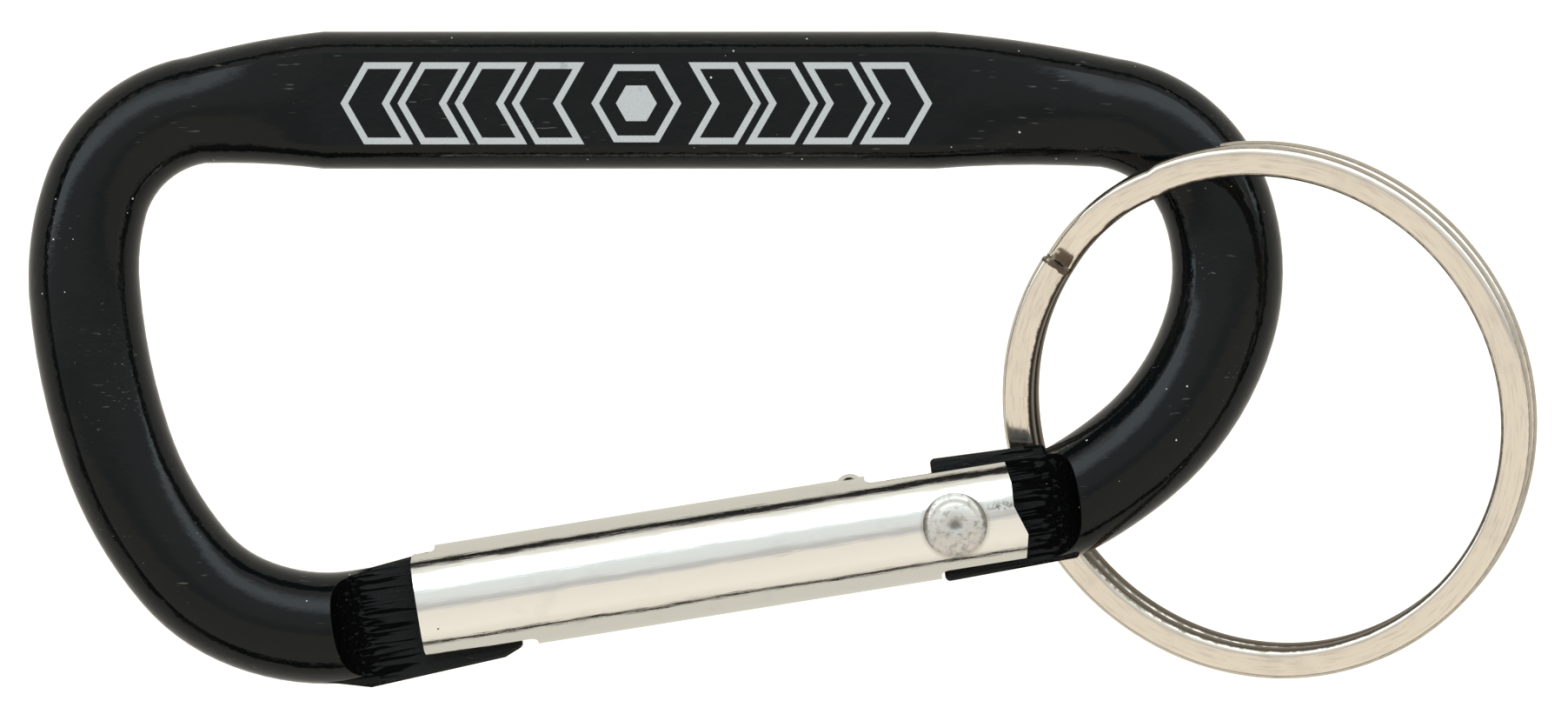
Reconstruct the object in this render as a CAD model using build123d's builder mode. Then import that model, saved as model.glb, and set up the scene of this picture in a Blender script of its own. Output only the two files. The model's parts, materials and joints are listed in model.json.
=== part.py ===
"""Carabiner keyring: bent rod body, sprung tube gate on a rivet, and a split ring.

Working frame while modelling: the rivet axis is the Z axis, the rod's mid-plane is Z = 0,
+X runs along the spine towards the bow that carries the ring, +Y from the gate towards the
spine. The finished pieces are moved together so that the assembly stands centred on Z = 0.
"""

import os
from math import cos, radians, sin

from build123d import *

# ---------------------------------------------------------------- rod body
SPINE_WIDTH = 8.74            # pressed flat section of the spine, in plan
SPINE_THICK = 5.05
SPINE_FLAT = 5.9              # width of the flat faces
SPINE_RISE = 26.97            # spine centreline above the rivet axis
SPINE_START = -40.13          # the bends begin where the spine ends
SPINE_END = -1.3
# bends along the centreline: (radius, degrees, width and thickness at the end of the bend);
# the first bend of each arm carries the flat into the round, the tight bend draws it thinner
NOSE_BENDS = [(51.5, 9.0, 6.85, 6.6), (8.1, 63.4, 6.85, 6.8), (15.7, 22.4, 7.1, 7.1),
              (41.9, 13.7, 7.1, 7.1), (23.1, 22.0, 7.1, 7.1), (10.2, 25.4, 7.1, 7.1),
              (13.4, 33.2, 7.1, 7.1)]
BOW_BENDS = [(78.5, 8.1, 7.0, 6.4), (8.5, 59.4, 7.0, 6.7), (12.7, 38.6, 7.1, 7.1),
             (16.55, 34.1, 7.1, 7.1), (27.1, 10.0, 7.1, 7.1), (4.9, 20.7, 7.1, 7.1)]

GATE_SLOPE = 9.1              # the gate rises towards the rivet by this angle
CUTTER_RADIUS = 3.0           # the milled faces run out into the rod with this radius
TONGUE_EDGE = 0.2             # the tongues' edges are broken by this much

# nose tongue, in gate coordinates (u along the gate from the rivet, v across it)
NOSE_THICK = 2.3
NOSE_FLAT_START = -37.0       # milled face begins here, the run-out lies behind it
NOSE_TIP = -28.3
NOSE_STEP = -33.1             # the tongue steps down here to pass under the gate's wall
NOSE_TOP = 3.6
NOSE_STEP_TOP = 2.6
NOSE_BOTTOM = -4.35
NOSE_BOTTOM_START = -3.3      # here the tongue's outer edge leaves the rod's own outline

# hinge tongue
HINGE_THICK = 2.5
HINGE_FLAT_END = 5.1
HINGE_REAR_FLAT_END = 8.4     # the rear face is milled further, the ring passes there
HINGE_TOP = 4.35
HINGE_BOTTOM = -3.5
WING_TOP_START = -0.9
WING_BOTTOM_START = -1.1
CAM_FACE = -2.1               # flat face the plunger bears on
CAM_TOP = 2.0
CAM_RADIUS = 2.1
HINGE_BORE_DIA = 2.1

# ---------------------------------------------------------------- gate
TUBE_DIA = 7.25
TUBE_WALL = 0.9
TUBE_OFFSET = 0.32            # the tube's centre line passes this far inside the rivet axis
GATE_TIP = -34.5              # end of the two cheeks that straddle the nose
GATE_TAIL = 4.5               # furthest reach of the cheeks behind the rivet
REAR_TAIL_RADIUS = 3.9        # the rear cheek is cut short and round, clear of the split ring
NOSE_SLOT = 3.3
NOSE_SLOT_TOP_END = -32.87
NOSE_SLOT_BOTTOM_END = -27.3
HINGE_SLOT = 3.7
HINGE_SLOT_TOP_START = -5.2
HINGE_SLOT_BOTTOM_START = -1.3
STAKE_POS = -6.2              # small staking bump on the wall towards the spine
STAKE_LENGTH = 1.4
STAKE_HEIGHT = 0.3
TAB_POS = -17.0               # lanced tab that holds the spring
TAB_LENGTH = 0.8
TAB_WIDTH = 2.0
TAB_DEPTH = 1.3

# ---------------------------------------------------------------- rivet
SHANK_DIA = 2.0
HEAD_DIA = 3.9
HEAD_SEAT = 3.15              # spot-faced seat, above the mid-plane
HEAD_HEIGHT = 0.65
DOME_RISE = 0.5
PUNCH_DIA = 0.4
PUNCH_DEPTH = 0.1
SEAT_DIA = 4.1

# ---------------------------------------------------------------- plunger and spring
PLUNGER_TIP = -2.23
PLUNGER_TIP_DIA = 4.2
PLUNGER_DISC_DIA = 5.2
PLUNGER_DISC_FRONT = -4.3
PLUNGER_DISC_BACK = -6.3
PLUNGER_STUB_DIA = 2.6
PLUNGER_STUB_END = -8.6
SPRING_WIRE = 0.5
SPRING_DIA = 4.7
SPRING_TURNS = 8

# ---------------------------------------------------------------- split ring
RING_OD = 34.7
RING_BAND = 1.95
RING_LAYER = 1.17
RING_GAP = 0.06
RING_EDGE = 0.3               # rounding of the wire's outer corners
RING_CENTRE = (19.88, 7.25, 2.6)
RING_TILT = 21.9
RING_RISE_DIR = 37.4          # plan direction in which the ring rises
FRONT_END = 144.0             # angles seen in plan, about the ring's centre
CROSS_START = 133.4
REAR_END = 101.0

SMALL = 0.05
FAR = 12.0                    # reach of the cutting profiles

slope = radians(GATE_SLOPE)
ALONG = Vector(cos(slope), sin(slope), 0)
ACROSS = Vector(-sin(slope), cos(slope), 0)
GATE = Plane(origin=(0, 0, 0), x_dir=ALONG, z_dir=(0, 0, 1))
GATE_SIDE = Plane(origin=(0, 0, 0), x_dir=ALONG, z_dir=-ACROSS)      # u along, height up
tube_r = TUBE_DIA / 2
bore_r = tube_r - TUBE_WALL


def across_gate(u):
    """Plane square to the gate's tube, centred on it, at distance u from the rivet."""
    return Plane(origin=ALONG * u + ACROSS * TUBE_OFFSET, x_dir=ACROSS, z_dir=ALONG)


def square_to(point, tangent):
    """Plane square to the rod's centreline; local x lies in plan, local y is up."""
    in_plan = Vector(-tangent.Y, tangent.X, 0)
    return Plane(origin=point, x_dir=in_plan, z_dir=tangent)


def rod_section(width, thick, flat, crown):
    """Section of the rod: two arcs at the sides, the faces between them raised by a crown."""
    corner = thick / 2 - crown
    with BuildLine() as edge:
        for side in (1, -1):
            ThreePointArc((side * flat / 2, corner), (side * width / 2, 0), (side * flat / 2, -corner))
            if crown:
                ThreePointArc((-flat / 2, side * corner), (0, side * thick / 2),
                              (flat / 2, side * corner))
            else:
                Line((-flat / 2, side * corner), (flat / 2, side * corner))
    make_face(edge.edges())


def round_section(width, thick):
    """Round or slightly oval section from the same four arcs as the flat one, so they blend.

    The arcs meet at 0.6 of the width and 0.8 of the thickness, which is exact for a circle.
    """
    rod_section(width, thick, 0.6 * width, 0.1 * thick)


def add_arm(start, heading, bends, turn, run_out):
    """One bent arm of the rod, bend after bend, and a short straight end of length run_out."""
    point, tangent = Vector(start), Vector(heading)
    with BuildSketch(square_to(point, tangent)) as section:
        rod_section(SPINE_WIDTH, SPINE_THICK, SPINE_FLAT, 0)
    for radius, angle, width, thick in bends:
        with BuildLine() as bend:
            JernArc(start=point, tangent=tangent, radius=radius, arc_size=turn * angle)
        point, tangent = bend.line @ 1, bend.line % 1
        with BuildSketch(square_to(point, tangent)) as next_section:
            round_section(width, thick)
        sweep(sections=[section.sketch, next_section.sketch], path=bend.line, multisection=True)
        section = next_section
    extrude(section.sketch, amount=run_out)


def mill_face(flat_edge, thick, towards, side):
    """Profile that clears the rod on one side (1 front, -1 rear) of a tongue.

    The face is flat up to flat_edge and then runs out of the rod in direction 'towards'.
    """
    half = thick / 2
    top = half + CUTTER_RADIUS
    middle = CUTTER_RADIUS * sin(radians(45))
    with BuildLine() as edge:
        Line((flat_edge - towards * FAR, side * half), (flat_edge, side * half))
        ThreePointArc((flat_edge, side * half),
                      (flat_edge + towards * middle, side * (top - middle)),
                      (flat_edge + towards * CUTTER_RADIUS, side * top))
        Polyline((flat_edge + towards * CUTTER_RADIUS, side * top),
                 (flat_edge - towards * FAR, side * top),
                 (flat_edge - towards * FAR, side * half))
    make_face(edge.edges())


# ================================================================ tongues of the frame
with BuildPart() as nose_tongue:
    with BuildSketch(GATE.offset(-NOSE_THICK / 2)):
        with BuildLine():
            FilletPolyline((NOSE_FLAT_START - 1.6, 3.0),
                           (NOSE_STEP, NOSE_TOP), (NOSE_STEP, NOSE_STEP_TOP),
                           (NOSE_TIP, NOSE_STEP_TOP - 0.3), (NOSE_TIP, -3.3),
                           (NOSE_TIP - 1.2, -3.8), (NOSE_FLAT_START - 1.2, NOSE_BOTTOM),
                           (NOSE_FLAT_START - 5.0, NOSE_BOTTOM_START),
                           close=True, radius=0.3)
        make_face()
    extrude(amount=NOSE_THICK)
    chamfer(nose_tongue.faces().filter_by(Axis.Z).edges(), length=TONGUE_EDGE)

with BuildPart() as hinge_tongue:
    # two wings beyond the gate's walls
    with BuildSketch(GATE.offset(-HINGE_THICK / 2)):
        with BuildLine():
            FilletPolyline((WING_TOP_START, HINGE_TOP), (6.4, HINGE_TOP - 0.2),
                           (7.6, HINGE_BOTTOM + 0.2), (WING_BOTTOM_START, HINGE_BOTTOM),
                           close=True, radius=0.3)
        make_face()
    extrude(amount=HINGE_THICK)
    chamfer(hinge_tongue.faces().filter_by(Axis.Z).edges(), length=TONGUE_EDGE)
    # cam nose around the bore
    with BuildSketch(GATE.offset(-HINGE_THICK / 2)):
        with Locations((CAM_FACE / 2, CAM_TOP / 2)):
            Rectangle(-CAM_FACE, CAM_TOP)
        Circle(CAM_RADIUS)
    extrude(amount=HINGE_THICK)

# ================================================================ frame
with BuildPart() as frame:
    with BuildSketch(Plane(origin=(SPINE_START, SPINE_RISE, 0), x_dir=(0, 1, 0),
                           z_dir=(1, 0, 0))):
        rod_section(SPINE_WIDTH, SPINE_THICK, SPINE_FLAT, 0)
    extrude(amount=SPINE_END - SPINE_START)
    add_arm((SPINE_START, SPINE_RISE, 0), (-1, 0, 0), NOSE_BENDS, 1, 2.2)
    add_arm((SPINE_END, SPINE_RISE, 0), (1, 0, 0), BOW_BENDS, -1, 1.6)

    # milled faces on both sides of the rod; the rear one at the hinge clears the split ring too
    with BuildSketch(GATE_SIDE):
        for side, hinge_edge in ((1, HINGE_FLAT_END), (-1, HINGE_REAR_FLAT_END)):
            mill_face(NOSE_FLAT_START, NOSE_THICK, -1, side)
            mill_face(hinge_edge, HINGE_THICK, 1, side)
    extrude(amount=FAR / 2, both=True, mode=Mode.SUBTRACT)

    add(nose_tongue.part)
    add(hinge_tongue.part)
    with BuildSketch(GATE.offset(-HINGE_THICK / 2)):
        Circle(HINGE_BORE_DIA / 2)
    extrude(amount=HINGE_THICK, mode=Mode.SUBTRACT)
frame.part.label = "frame"

# ================================================================ gate sleeve
with BuildPart() as gate_sleeve:
    with BuildSketch(across_gate(GATE_TIP)):
        Circle(tube_r)
    extrude(amount=GATE_TAIL - GATE_TIP)
    # staking bump
    stake_r = ((STAKE_LENGTH / 2) ** 2 + STAKE_HEIGHT ** 2) / (2 * STAKE_HEIGHT)
    with Locations(across_gate(STAKE_POS).from_local_coords((tube_r + STAKE_HEIGHT - stake_r, 0, 0))):
        Sphere(stake_r)
    # plan outline of the cheeks
    with BuildSketch(GATE.offset(-FAR / 2)):
        with BuildLine():
            FilletPolyline((GATE_TIP, 3.0), (GATE_TIP + 0.9, FAR / 2), (3.4, FAR / 2),
                           (3.94, 2.1), (3.86, 0.6), (GATE_TAIL, -1.3), (4.2, -2.7),
                           (3.3, -FAR / 2), (GATE_TIP + 0.9, -FAR / 2), (GATE_TIP, -2.6),
                           close=True, radius=0.3)
        make_face()
    extrude(amount=FAR, mode=Mode.INTERSECT)
    # the rear cheek ends in a shorter round
    with BuildSketch(GATE):
        with Locations((FAR / 2, 0)):
            Rectangle(FAR, FAR)
        Circle(REAR_TAIL_RADIUS, mode=Mode.SUBTRACT)
    extrude(amount=-FAR, mode=Mode.SUBTRACT)
    # bore
    with BuildSketch(across_gate(GATE_TIP - SMALL)):
        Circle(bore_r)
    extrude(amount=GATE_TAIL - GATE_TIP + 1, mode=Mode.SUBTRACT)
    # slots for the nose and the hinge tongue, through the inner (1) or outer (-1) wall
    for start, end, side, width in (
            (GATE_TIP - 1, NOSE_SLOT_TOP_END, 1, NOSE_SLOT),
            (GATE_TIP - 1, NOSE_SLOT_BOTTOM_END, -1, NOSE_SLOT),
            (HINGE_SLOT_TOP_START, GATE_TAIL + 1, 1, HINGE_SLOT),
            (HINGE_SLOT_BOTTOM_START, GATE_TAIL + 1, -1, HINGE_SLOT)):
        with BuildSketch(Plane(origin=ACROSS * TUBE_OFFSET, x_dir=ALONG, z_dir=ACROSS * side)):
            with Locations(((start + end) / 2, 0)):
                RectangleRounded(end - start, width, 0.5)
        extrude(amount=FAR / 2, mode=Mode.SUBTRACT)
    # lanced tab behind the spring
    with BuildSketch(GATE.offset(-bore_r - SMALL)):
        with Locations((TAB_POS, TUBE_OFFSET)):
            Rectangle(TAB_LENGTH, TAB_WIDTH)
    extrude(amount=TAB_DEPTH)
    # rivet holes and the two spot-faced seats
    with BuildSketch(GATE.offset(-FAR / 2)):
        Circle(SHANK_DIA / 2 + 0.01)
    extrude(amount=FAR, mode=Mode.SUBTRACT)
    for side in (1, -1):
        with BuildSketch(Plane(origin=(0, 0, side * HEAD_SEAT), z_dir=(0, 0, side))):
            Circle(SEAT_DIA / 2)
        extrude(amount=1, mode=Mode.SUBTRACT)
gate_sleeve.part.label = "gate_sleeve"

# ================================================================ hinge rivet
dome_r = ((HEAD_DIA / 2) ** 2 + DOME_RISE ** 2) / (2 * DOME_RISE)
with BuildPart() as hinge_rivet:
    Cylinder(SHANK_DIA / 2, 2 * HEAD_SEAT)
    for side in (1, -1):
        with BuildSketch(Plane(origin=(0, 0, side * HEAD_SEAT), z_dir=(0, 0, side))):
            Circle(HEAD_DIA / 2)
        extrude(amount=HEAD_HEIGHT)
    # both heads are shallow domes
    for side in (1, -1):
        with Locations((0, 0, side * (HEAD_SEAT + HEAD_HEIGHT - dome_r))):
            Sphere(dome_r, mode=Mode.INTERSECT)
    # punch mark in the middle of the front head
    with BuildSketch(Plane.XY.offset(HEAD_SEAT + HEAD_HEIGHT - PUNCH_DEPTH)):
        Circle(PUNCH_DIA / 2)
    extrude(amount=1, mode=Mode.SUBTRACT)
hinge_rivet.part.label = "hinge_rivet"

# ================================================================ spring plunger
with BuildPart() as spring_plunger:
    for start, end, dia in ((PLUNGER_DISC_FRONT, PLUNGER_TIP, PLUNGER_TIP_DIA),
                            (PLUNGER_DISC_BACK, PLUNGER_DISC_FRONT, PLUNGER_DISC_DIA),
                            (PLUNGER_STUB_END, PLUNGER_DISC_BACK, PLUNGER_STUB_DIA)):
        with BuildSketch(across_gate(start)):
            Circle(dia / 2)
        extrude(amount=end - start)
    tip_edge = spring_plunger.edges().filter_by(GeomType.CIRCLE).sort_by(Axis((0, 0, 0), ALONG))[-1]
    chamfer(tip_edge, length=0.2)
spring_plunger.part.label = "spring_plunger"

# ================================================================ return spring
spring_start = TAB_POS + TAB_LENGTH / 2 + SPRING_WIRE / 2 + SMALL
spring_end = PLUNGER_DISC_BACK - SPRING_WIRE / 2 - SMALL
spring_r = (SPRING_DIA - SPRING_WIRE) / 2
with BuildPart() as return_spring:
    with BuildLine() as coil:
        Helix(pitch=(spring_end - spring_start) / SPRING_TURNS, height=spring_end - spring_start,
              radius=spring_r, center=across_gate(spring_start).origin, direction=ALONG)
    with BuildSketch(Plane(origin=coil.line @ 0, z_dir=coil.line % 0)):
        Circle(SPRING_WIRE / 2)
    sweep(path=coil.line, is_frenet=True)
return_spring.part.label = "return_spring"

# ================================================================ split ring
rise = radians(RING_RISE_DIR)
tilt = radians(RING_TILT)
ring_normal = Vector(-sin(tilt) * cos(rise), -sin(tilt) * sin(rise), cos(tilt))
ring_x = Vector(1, 0, 0) - ring_normal * ring_normal.X
RING = Plane(origin=RING_CENTRE, x_dir=ring_x.normalized(), z_dir=ring_normal)
ring_r = RING_OD / 2 - RING_BAND / 2
layer_mid = RING_LAYER / 2 + RING_GAP / 2


def wire_section(side):
    """Section of one layer: flat towards its neighbour, rounded on its outer corners."""
    half = RING_BAND / 2
    inner, outer = side * RING_GAP / 2, side * (RING_GAP / 2 + RING_LAYER)
    with BuildLine() as edge:
        Polyline((ring_r + half, inner), (ring_r - half, inner),
                 (ring_r - half, outer - side * RING_EDGE))
        ThreePointArc((ring_r - half, outer - side * RING_EDGE),
                      (ring_r - half + RING_EDGE * 0.3, outer - side * RING_EDGE * 0.3),
                      (ring_r - half + RING_EDGE, outer))
        Line((ring_r - half + RING_EDGE, outer), (ring_r + half - RING_EDGE, outer))
        ThreePointArc((ring_r + half - RING_EDGE, outer),
                      (ring_r + half - RING_EDGE * 0.3, outer - side * RING_EDGE * 0.3),
                      (ring_r + half, outer - side * RING_EDGE))
        Line((ring_r + half, outer - side * RING_EDGE), (ring_r + half, inner))
    make_face(edge.edges())


def ring_plane(plan_angle):
    """Radial plane of the ring at an angle seen in plan: x outwards, y along the ring's axis."""
    direction = Vector(cos(radians(plan_angle)), sin(radians(plan_angle)), 0)
    radial = (direction - Vector(0, 0, direction.dot(ring_normal) / ring_normal.Z)).normalized()
    return Plane(origin=RING.origin, x_dir=radial, z_dir=radial.cross(ring_normal))


def turn_between(plan_start, plan_end):
    """Degrees about the ring's axis between two angles seen in plan."""
    return ring_plane(plan_start).x_dir.get_angle(ring_plane(plan_end).x_dir)


ring_axis = Axis(RING.origin, RING.z_dir)
with BuildPart() as split_ring:
    # front layer from its free end round to the crossover
    with BuildSketch(ring_plane(FRONT_END)):
        wire_section(1)
    revolve(axis=ring_axis, revolution_arc=360 - turn_between(CROSS_START, FRONT_END))
    # rear layer from the crossover round to its free end
    with BuildSketch(ring_plane(FRONT_END)):
        wire_section(-1)
    revolve(axis=ring_axis, revolution_arc=360 - turn_between(REAR_END, FRONT_END))
    # crossover strip from the front layer down to the rear one
    with BuildSketch(ring_plane(CROSS_START)):
        with Locations((ring_r, layer_mid)):
            Rectangle(RING_BAND, RING_LAYER)
    with BuildSketch(ring_plane(FRONT_END)):
        with Locations((ring_r, -layer_mid)):
            Rectangle(RING_BAND, RING_LAYER)
    loft(ruled=True)
split_ring.part.label = "split_ring"

# ================================================================ placing and export
pieces = [frame, gate_sleeve, hinge_rivet, spring_plunger, return_spring, split_ring]
box = Compound(children=[piece.part.moved(Location()) for piece in pieces]).bounding_box()
centre_shift = Location((-(box.min.X + box.max.X) / 2, -(box.min.Y + box.max.Y) / 2, -box.min.Z))
print("size", box.size, "shift", centre_shift.position)

os.makedirs("parts", exist_ok=True)
for piece in pieces:
    moved = piece.part.moved(centre_shift)
    moved.label = piece.part.label
    export_step(moved, f"parts/{piece.part.label}.step")
    print(piece.part.label, "solids", len(piece.part.solids()), "volume", round(piece.part.volume, 1))
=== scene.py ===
"""Looks of the carabiner keyring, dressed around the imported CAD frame.

The rod body, the gate tube and its plunger are shown as the CAD made them, with finishes of
their own. The split ring, the rivet and the return spring are modelled again here in finer
detail, and the spine carries a pad-printed band of plain geometric marks.
"""

import json
import logging
import math
from collections.abc import Callable
from dataclasses import dataclass
from enum import Enum

import bpy
from mathutils import Matrix, Vector

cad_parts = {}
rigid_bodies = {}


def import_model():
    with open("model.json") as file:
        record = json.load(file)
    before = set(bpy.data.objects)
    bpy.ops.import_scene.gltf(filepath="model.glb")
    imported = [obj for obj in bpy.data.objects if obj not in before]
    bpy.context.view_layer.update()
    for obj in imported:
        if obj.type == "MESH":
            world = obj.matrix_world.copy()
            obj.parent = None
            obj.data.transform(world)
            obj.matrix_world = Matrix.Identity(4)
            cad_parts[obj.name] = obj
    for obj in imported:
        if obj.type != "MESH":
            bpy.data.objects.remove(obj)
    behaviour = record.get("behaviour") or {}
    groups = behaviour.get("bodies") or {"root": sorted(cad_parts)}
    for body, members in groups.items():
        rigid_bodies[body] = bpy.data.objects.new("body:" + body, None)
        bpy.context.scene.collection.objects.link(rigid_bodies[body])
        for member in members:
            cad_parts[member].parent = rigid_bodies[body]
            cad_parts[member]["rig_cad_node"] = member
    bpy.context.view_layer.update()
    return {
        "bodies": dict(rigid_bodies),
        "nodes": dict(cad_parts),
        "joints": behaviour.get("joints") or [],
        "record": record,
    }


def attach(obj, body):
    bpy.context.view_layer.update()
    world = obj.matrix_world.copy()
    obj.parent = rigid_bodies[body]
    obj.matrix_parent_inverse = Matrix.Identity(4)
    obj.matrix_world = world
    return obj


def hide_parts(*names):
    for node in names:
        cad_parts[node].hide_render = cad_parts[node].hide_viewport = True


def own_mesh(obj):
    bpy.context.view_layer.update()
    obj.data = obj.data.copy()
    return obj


log = logging.getLogger("scene")

MM = 0.001
GATE_SLOPE = math.radians(9.1)
FACING = 0.9  # a face looks along a direction when its normal has at least this much of it
SOFT = {"interpolation_type": "SMOOTHSTEP"}  # a mapped range with a soft start and end
TINTS = {"data_type": "RGBA", "out": 2}  # a mix of two colours
Socket = bpy.types.NodeSocket
Object = bpy.types.Object
Material = bpy.types.Material


class Slot(Enum):
    """The record's material slots."""

    LACQUER = "black_lacquer"
    ALUMINIUM = "bright_aluminium"
    RIVET = "rivet_aluminium"
    SPRING = "spring_steel"
    NICKEL = "nickel_plate"


# ------------------------------------------------------------------ colour and nodes


def linear(hex_colour: str) -> tuple[float, float, float, float]:
    """Turns an sRGB hex colour into a linear one.

    Args:
        hex_colour: colour such as "#1a2b3c".

    Returns:
        Linear red, green, blue and an alpha of 1.
    """
    values = [int(hex_colour[i : i + 2], 16) / 255 for i in (1, 3, 5)]
    r, g, b = (v / 12.92 if v <= 0.04045 else ((v + 0.055) / 1.055) ** 2.4 for v in values)
    return r, g, b, 1.0


def per_mm(size: float) -> float:
    """Texture scale whose features are size millimetres across."""
    return 1 / (size * MM)


class Finish:
    """The node tree of a material, or of the world, while it is being put together.

    A noise runs from 0 to 1 about 0.5, so the two levels that a range starts from say how much
    of the noise shows.
    """

    def __init__(self, owner: Material | bpy.types.World) -> None:
        """Empties the owner's tree.

        Args:
            owner: the new material or world.
        """
        owner.use_nodes = True
        self.owner = owner
        self.tree = owner.node_tree
        self.tree.nodes.clear()

    def add(
        self,
        kind: str,
        inputs: dict | None = None,
        out: int | str = 0,
        **settings: str,
    ) -> Socket:
        """Adds one node.

        Args:
            kind: node type without the ShaderNode prefix.
            inputs: value or output socket for each input, by name or number.
            out: the output wanted.
            settings: properties of the node.

        Returns:
            The wanted output socket.
        """
        node = self.tree.nodes.new("ShaderNode" + kind)
        for name, value in settings.items():
            setattr(node, name, value)
        for key, value in (inputs or {}).items():
            if isinstance(value, Socket):
                self.tree.links.new(value, node.inputs[key])
            else:
                node.inputs[key].default_value = value
        return node.outputs[out]

    def close(self, shader: Socket, kind: str = "Material") -> Material | bpy.types.World:
        """Joins the shader to the tree's output node.

        Args:
            shader: the finished shader.
            kind: the output node's kind, Material or World.

        Returns:
            The material or world.
        """
        output = self.tree.nodes.new("ShaderNodeOutput" + kind)
        self.tree.links.new(shader, output.inputs["Surface"])
        return self.owner


# ------------------------------------------------------------------ finishes


@dataclass(frozen=True)
class Lacquer:
    """Gloss black lacquer over aluminium, satin and streaked where the ends are milled flat.

    Sizes are in millimetres.
    """

    coat: str = "#080b0c"  # deep neutral black of the lacquer
    handled: str = "#0c0d0d"  # the same, a little dulled by handling
    milled: str = "#151617"  # thinner, greyer coat over the milled faces
    streak: str = "#020202"  # cutter lines, filled with lacquer
    dust: str = "#c9c7bf"  # pale dust and chips
    coat_roughness: float = 0.07
    handled_roughness: float = 0.12
    milled_roughness: float = 0.28
    reflection: float = 0.21  # weak clear reflection, about 2 % head-on
    milled_reflection: float = 0.13
    streak_reflection: float = 0.03
    line: float = 0.24  # width of a cutter line
    line_stretch: float = 0.05  # width of a line over its length
    line_ends: tuple[float, float] = (-1.6, 3.4)  # how unevenly the lines die away
    line_fade: tuple[float, float] = (-0.2, 1.0)
    pit: float = 0.22
    dust_spacing: float = 0.85
    dust_grain: float = 0.085  # radius of the largest grain, as a share of the spacing
    hair: float = 0.16  # width of a hairline scratch
    hair_stretch: float = 0.1  # the same for a scratch
    hair_patch: float = 4.0
    hair_share: float = 0.12  # how much of the dust's colour a hairline has
    smear: float = 6.0
    peel: float = 1.6  # size of the orange peel
    peel_depth: float = 0.05
    cut_depth: float = 0.14

    def build(self, rivet: Vector, noses: "MilledEnds") -> Material:
        """Makes the material.

        Args:
            rivet: the gate's pivot point.
            noses: where the rod's ends are milled.

        Returns:
            The material.
        """
        f = Finish(bpy.data.materials.new("black_lacquer_on_aluminium"))
        place = f.add("TexCoord", out="Object")
        gate = f.add(
            "Mapping",
            {"Vector": place, "Location": rivet, "Rotation": (0, 0, GATE_SLOPE)},
            vector_type="TEXTURE",
        )
        # cutter lines run along the gate on the milled faces
        lines_at = f.add("Mapping", {"Vector": gate, "Scale": (self.line_stretch, 1, 1)})
        lines = f.add(
            "TexNoise",
            {"Vector": lines_at, "Scale": per_mm(self.line), "Detail": 1.5, "Roughness": 0.7},
        )
        milled, run = noses.mask(f, gate)
        # they start black at the run-out and die away over the flat, each at its own length
        ragged = f.add(
            "MapRange",
            {0: lines, 1: 0.3, 2: 0.75, 3: self.line_ends[0] * MM, 4: self.line_ends[1] * MM},
            **SOFT,
        )
        reach = f.add("Math", {0: run, 1: ragged}, operation="ADD")
        fading = f.add(
            "MapRange", {0: reach, 1: self.line_fade[0] * MM, 2: self.line_fade[1] * MM}, **SOFT
        )
        line_mask = f.add("Math", {0: milled, 1: fading}, operation="MULTIPLY")
        pits = f.add(
            "TexNoise", {"Vector": place, "Scale": per_mm(self.pit), "Detail": 4, "Roughness": 0.7}
        )
        # dust: rare small grains of different sizes
        far = f.add("TexVoronoi", {"Vector": place, "Scale": per_mm(self.dust_spacing)}, "Distance")
        kept = f.add(
            "MapRange",
            {0: far.node.outputs["Color"], 1: 0.5, 2: 1.0, 3: 0.0, 4: self.dust_grain},
            **SOFT,
        )
        grain = f.add("Math", {0: kept, 1: far}, operation="GREATER_THAN")
        # hairlines: short fine scratches in patches
        warped = f.add(
            "Mapping",
            {"Vector": place, "Rotation": (0.3, 0.2, 0.7), "Scale": (self.hair_stretch, 1, 1)},
        )
        patches = f.add(
            "TexNoise",
            {"Vector": place, "Scale": per_mm(self.hair_patch), "Detail": 3, "Roughness": 0.55},
        )
        broken = f.add("MapRange", {0: patches, 1: 0.5, 2: 0.62}, **SOFT)
        fine = f.add(
            "TexNoise",
            {"Vector": warped, "Scale": per_mm(self.hair), "Detail": 1, "Roughness": 0.55},
        )
        scratch = f.add("MapRange", {0: fine, 1: 0.68, 2: 0.76}, **SOFT)
        hair = f.add("Math", {0: scratch, 1: broken}, operation="MULTIPLY")
        cloudy = f.add(
            "TexNoise",
            {"Vector": place, "Scale": per_mm(self.smear), "Detail": 4, "Roughness": 0.55},
        )
        smear = f.add("MapRange", {0: cloudy, 1: 0.35, 2: 0.75}, **SOFT)
        coat = f.add("Mix", {0: smear, 6: linear(self.coat), 7: linear(self.handled)}, **TINTS)
        ground = f.add("Mix", {0: milled, 6: coat, 7: linear(self.milled)}, **TINTS)
        ground = f.add("Mix", {0: line_mask, 6: ground, 7: linear(self.streak)}, **TINTS)
        marks = f.add("Math", {0: hair, 1: self.hair_share}, operation="MULTIPLY")
        worn = f.add("Math", {0: marks, 1: grain}, operation="MAXIMUM")
        colour = f.add("Mix", {0: worn, 6: ground, 7: linear(self.dust)}, **TINTS)
        smooth = f.add(
            "MapRange",
            {0: smear, 1: 0, 2: 1, 3: self.coat_roughness, 4: self.handled_roughness},
            **SOFT,
        )
        rough = f.add("Mix", {0: milled, 2: smooth, 3: self.milled_roughness})
        shine = f.add("Mix", {0: milled, 2: self.reflection, 3: self.milled_reflection})
        shine = f.add("Mix", {0: line_mask, 2: shine, 3: self.streak_reflection})
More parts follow.
